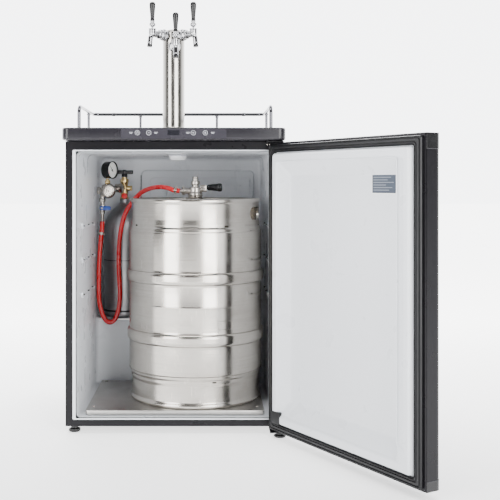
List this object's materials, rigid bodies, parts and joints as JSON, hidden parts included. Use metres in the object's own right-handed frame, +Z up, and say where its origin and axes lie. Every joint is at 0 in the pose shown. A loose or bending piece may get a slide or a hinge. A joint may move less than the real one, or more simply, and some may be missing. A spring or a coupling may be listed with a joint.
{
  "type": "kegerator",
  "caption": "Freestanding keg cooler cabinet with open hinged door, draught tower with lever taps, guardrail, keg, coupler, gas bottle, regulator and gas hose.",
  "frame": {"origin": "on the floor, under the middle of the whole outline seen from above, with the door open as stored", "axes": "+Z up, the cabinet's front and its taps face -Y, and +X is to the right of someone facing the front"},
  "size_m": [0.908, 1.1642, 1.2168],
  "materials": {
    "black_paint": "semi-gloss powder coat",
    "worktop_black": "fine-textured black plastic",
    "control_strip": "satin dark grey",
    "control_key": "satin",
    "white_liner": "satin white",
    "foam": "rigid foam",
    "black_rubber": "matt",
    "plate_steel": "brushed",
    "keg_steel": "brushed round the keg",
    "chrome": "polished",
    "tower_steel": "polished stainless steel",
    "nickel": "nickel plate",
    "brass": "bare brass",
    "bottle_aluminium": "brushed",
    "black_plastic": "smooth black",
    "red_plastic": "smooth red",
    "blue_plastic": "smooth blue",
    "red_hose": "smooth red hose",
    "lens": "opal"
  },
  "bodies": {
    "cabinet": {"cabinet_shell": "black_paint", "back_panel": "black_paint", "compressor": "black_paint", "condenser": "black_paint", "hinge_top": "black_paint", "hinge_bottom": "black_paint", "worktop": "worktop_black", "control_fascia": "control_strip", "liner": "white_liner", "evaporator_cover": "white_liner", "insulation": "foam", "floor_plate": "plate_steel", "keg": "keg_steel", "keg_spear": "keg_steel", "guardrail": "chrome", "shank_left": "chrome", "shank_centre": "chrome", "shank_right": "chrome", "tap_body_left": "chrome", "tap_body_centre": "chrome", "tap_body_right": "chrome", "tower_column": "tower_steel", "tower_cap": "tower_steel", "coupler_body": "nickel", "gas_inlet": "nickel", "regulator": "nickel", "hose_clamp_bottle": "nickel", "hose_clamp_coupler": "nickel", "bottle_valve": "brass", "gas_bottle": "bottle_aluminium", "foot_front_left": "black_plastic", "foot_front_right": "black_plastic", "foot_back_left": "black_plastic", "foot_back_right": "black_plastic", "gauge_case": "black_plastic", "relief_cap": "red_plastic", "gas_hose": "red_hose", "interior_lamp": "lens"},
    "door": {"door_panel": "black_paint", "door_foam": "foam", "door_liner": "white_liner", "door_gasket": "black_rubber", "door_top_cap": "black_plastic", "door_bottom_cap": "black_plastic"},
    "key_1": {"key_1": "control_key"},
    "key_2": {"key_2": "control_key"},
    "key_3": {"key_3": "control_key"},
    "key_4": {"key_4": "control_key"},
    "tap_left": {"tap_lever_left": "chrome", "tap_handle_left": "black_plastic"},
    "tap_centre": {"tap_lever_centre": "chrome", "tap_handle_centre": "black_plastic"},
    "tap_right": {"tap_lever_right": "chrome", "tap_handle_right": "black_plastic"},
    "coupler_lever": {"coupler_lever": "black_plastic"},
    "coupler_probe": {"coupler_probe": "nickel"},
    "valve_handle": {"valve_handle": "black_plastic"},
    "pressure_screw": {"pressure_screw": "nickel"},
    "gauge_needle": {"gauge_needle": "black_plastic"},
    "shutoff_lever": {"shutoff_lever": "blue_plastic"}
  },
  "joints": [
    {"name": "door_hinge", "type": "hinge", "parent": "cabinet", "child": "door", "pos_m": [0.13617, -0.06629, 0.4], "axis": [0, 0, 1], "range_deg": [-120.3, 5]},
    {"name": "key_1_press", "type": "slide", "parent": "cabinet", "child": "key_1", "axis": [0, 1, 0], "range_m": [0, 0.001], "stiffness_N_per_m": 200},
    {"name": "key_2_press", "type": "slide", "parent": "cabinet", "child": "key_2", "axis": [0, 1, 0], "range_m": [0, 0.001], "stiffness_N_per_m": 200},
    {"name": "key_3_press", "type": "slide", "parent": "cabinet", "child": "key_3", "axis": [0, 1, 0], "range_m": [0, 0.001], "stiffness_N_per_m": 200},
    {"name": "key_4_press", "type": "slide", "parent": "cabinet", "child": "key_4", "axis": [0, 1, 0], "range_m": [0, 0.001], "stiffness_N_per_m": 200},
    {"name": "tap_left_lever", "type": "hinge", "parent": "cabinet", "child": "tap_left", "pos_m": [-0.21642, 0.04472, 1.1403], "axis": [0.7071, -0.7071, 0], "range_deg": [0, 38]},
    {"name": "tap_centre_lever", "type": "hinge", "parent": "cabinet", "child": "tap_centre", "pos_m": [-0.14905, 0.02086, 1.1058], "axis": [0.9945, 0.1045, 0], "range_deg": [0, 38]},
    {"name": "tap_right_lever", "type": "hinge", "parent": "cabinet", "child": "tap_right", "pos_m": [-0.09904, 0.04472, 1.1403], "axis": [0.7071, 0.7071, 0], "range_deg": [0, 38]},
    {"name": "coupler_lever_hinge", "type": "hinge", "parent": "cabinet", "child": "coupler_lever", "pos_m": [-0.06823, 0.17841, 0.6836], "axis": [0, -1, 0], "range_deg": [0, 75]},
    {"name": "coupler_probe_slide", "type": "slide", "parent": "cabinet", "child": "coupler_probe", "axis": [0, 0, 1], "range_m": [0, 0.012]},
    {"name": "valve_handle_turn", "type": "hinge", "parent": "cabinet", "child": "valve_handle", "pos_m": [-0.33573, 0.46091, 0.72], "axis": [0, 0, 1], "range_deg": [0, 540]},
    {"name": "pressure_screw_turn", "type": "hinge", "parent": "cabinet", "child": "pressure_screw", "pos_m": [-0.37485, 0.35414, 0.672], "axis": [0.2599, -0.9656, 0], "range_deg": [-360, 720]},
    {"name": "gauge_needle_sweep", "type": "hinge", "parent": "cabinet", "child": "gauge_needle", "pos_m": [-0.36784, 0.37551, 0.7393], "axis": [0.866, -0.5, 0], "range_deg": [-174, 96]},
    {"name": "shutoff_lever_turn", "type": "hinge", "parent": "cabinet", "child": "shutoff_lever", "pos_m": [-0.39973, 0.38341, 0.6163], "axis": [0, 1, 0], "range_deg": [0, 90]}
  ],
  "couplings": [
    {"joint": "coupler_lever_hinge", "follows": "coupler_probe_slide", "rad_per_m": 109.08}
  ]
}
